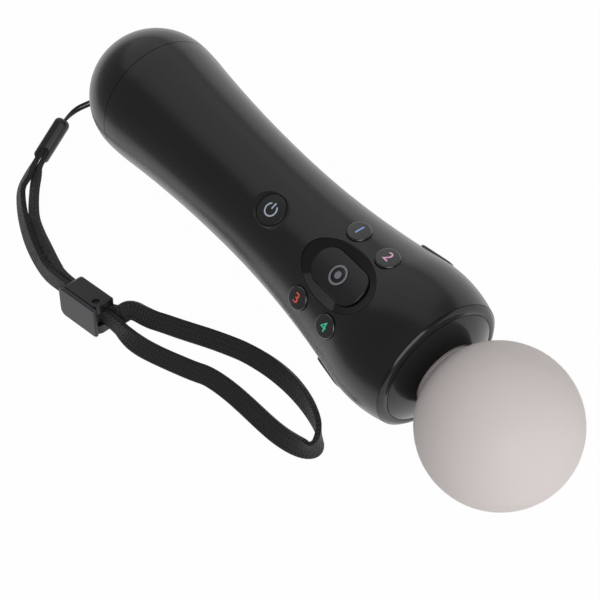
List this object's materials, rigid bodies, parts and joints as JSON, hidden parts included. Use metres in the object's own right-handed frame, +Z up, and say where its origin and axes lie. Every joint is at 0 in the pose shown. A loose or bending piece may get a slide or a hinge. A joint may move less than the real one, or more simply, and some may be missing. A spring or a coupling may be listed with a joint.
{
  "type": "motion navigation controller",
  "caption": "Wand-shaped motion controller with a soft light ball, thumb buttons, a trigger, ports and a wrist strap with a lock.",
  "frame": {"origin": "midway along the body, below its axis, on the surface that it lies on", "axes": "+X along the body from the rounded end to the light, +Z up on the button side, +Y to the left seen from behind"},
  "size_m": [0.2212, 0.0937, 0.0452],
  "materials": {
    "shell": "satin moulded plastic, fine grain",
    "cap": "satin moulded plastic, fine grain",
    "bezel": "high gloss",
    "button": "satin, lightly polished",
    "main_button": "satin",
    "trim": "semi-gloss",
    "diffuser": "matt translucent, soft touch",
    "retainer": "matt moulded plastic",
    "board": "solder mask over glass laminate",
    "chip": "moulded package",
    "lens": "clear moulded light guide",
    "frame": "matt glass-filled plastic",
    "mat": "matt silicone",
    "steel": "plated",
    "contact": "gold plated",
    "battery": "wrapped can",
    "motor": "drawn can",
    "weight": "sintered",
    "cord": "glossy braided cord",
    "tape": "fine braided tape",
    "sleeve": "satin",
    "lock": "satin",
    "lever": "satin"
  },
  "bodies": {
    "controller": {"front_shell": "shell", "rear_shell": "shell", "shell_screws": "steel", "end_cap": "cap", "strap_bar": "steel", "main_bezel": "bezel", "side_switches": "chip", "button_mat": "mat", "trigger_sensor": "chip", "trigger_pin": "steel", "trigger_spring": "steel", "main_board": "board", "inner_frame": "frame", "frame_screws": "steel", "processor": "chip", "radio_module": "chip", "motion_sensors": "chip", "power_chip": "chip", "battery": "battery", "rumble_motor": "motor", "motor_clip": "frame", "trim_ring": "trim", "collar": "trim", "light_ball": "diffuser", "ball_retainer": "retainer", "led_board": "board", "rgb_led": "lens", "light_guide": "lens", "port_board": "board", "usb_socket": "steel", "ext_socket": "steel", "charge_contacts": "contact", "strap_cord": "cord", "strap_sleeve": "sleeve", "strap_tape": "tape", "strap_lock_body": "lock", "strap_lock_pin": "steel"},
    "trigger": {"trigger": "shell", "trigger_magnet": "steel"},
    "rumble_weight": {"rumble_weight": "weight"},
    "main_button": {"main_button": "main_button"},
    "home_button": {"home_button": "main_button"},
    "action_button_1": {"action_button_1": "button"},
    "action_button_2": {"action_button_2": "button"},
    "action_button_3": {"action_button_3": "button"},
    "action_button_4": {"action_button_4": "button"},
    "side_button_left": {"side_button_left": "button"},
    "side_button_right": {"side_button_right": "button"},
    "strap_lock_lever": {"strap_lock_lever": "lever"}
  },
  "joints": [
    {"name": "main_button_press", "type": "slide", "parent": "controller", "child": "main_button", "axis": [0.1444, 0, -0.9895], "range_m": [0, 0.0008], "stiffness_N_per_m": 700, "deforming": ["button_mat"]},
    {"name": "home_button_press", "type": "slide", "parent": "controller", "child": "home_button", "axis": [0, 0, -1], "range_m": [0, 0.0006], "stiffness_N_per_m": 500, "deforming": ["button_mat"]},
    {"name": "action_button_1_press", "type": "slide", "parent": "controller", "child": "action_button_1", "axis": [0, -0.5, -0.866], "range_m": [0, 0.0008], "stiffness_N_per_m": 500, "deforming": ["button_mat"]},
    {"name": "action_button_2_press", "type": "slide", "parent": "controller", "child": "action_button_2", "axis": [0, -0.5, -0.866], "range_m": [0, 0.0008], "stiffness_N_per_m": 500, "deforming": ["button_mat"]},
    {"name": "action_button_3_press", "type": "slide", "parent": "controller", "child": "action_button_3", "axis": [0, 0.5, -0.866], "range_m": [0, 0.0008], "stiffness_N_per_m": 500, "deforming": ["button_mat"]},
    {"name": "action_button_4_press", "type": "slide", "parent": "controller", "child": "action_button_4", "axis": [0, 0.5, -0.866], "range_m": [0, 0.0008], "stiffness_N_per_m": 500, "deforming": ["button_mat"]},
    {"name": "side_button_left_press", "type": "slide", "parent": "controller", "child": "side_button_left", "axis": [0.1392, -0.9903, 0], "range_m": [0, 0.0005], "stiffness_N_per_m": 500},
    {"name": "side_button_right_press", "type": "slide", "parent": "controller", "child": "side_button_right", "axis": [0.1392, 0.9903, 0], "range_m": [0, 0.0005], "stiffness_N_per_m": 500},
    {"name": "trigger_pull", "type": "hinge", "parent": "controller", "child": "trigger", "pos_m": [0.039, 0, 0.0061], "axis": [0, 1, 0], "range_deg": [0, 9], "stiffness_Nm_per_rad": 0.3, "deforming": ["trigger_spring"]},
    {"name": "rumble_spin", "type": "hinge", "parent": "controller", "child": "rumble_weight", "pos_m": [-0.0118, 0, 0.0191], "axis": [1, 0, 0], "continuous": true},
    {"name": "lock_lever_open", "type": "hinge", "parent": "controller", "child": "strap_lock_lever", "pos_m": [-0.05095, -0.06281, 0.00737], "axis": [-0.1143, 0.605, 0.788], "range_deg": [0, 45]}
  ]
}
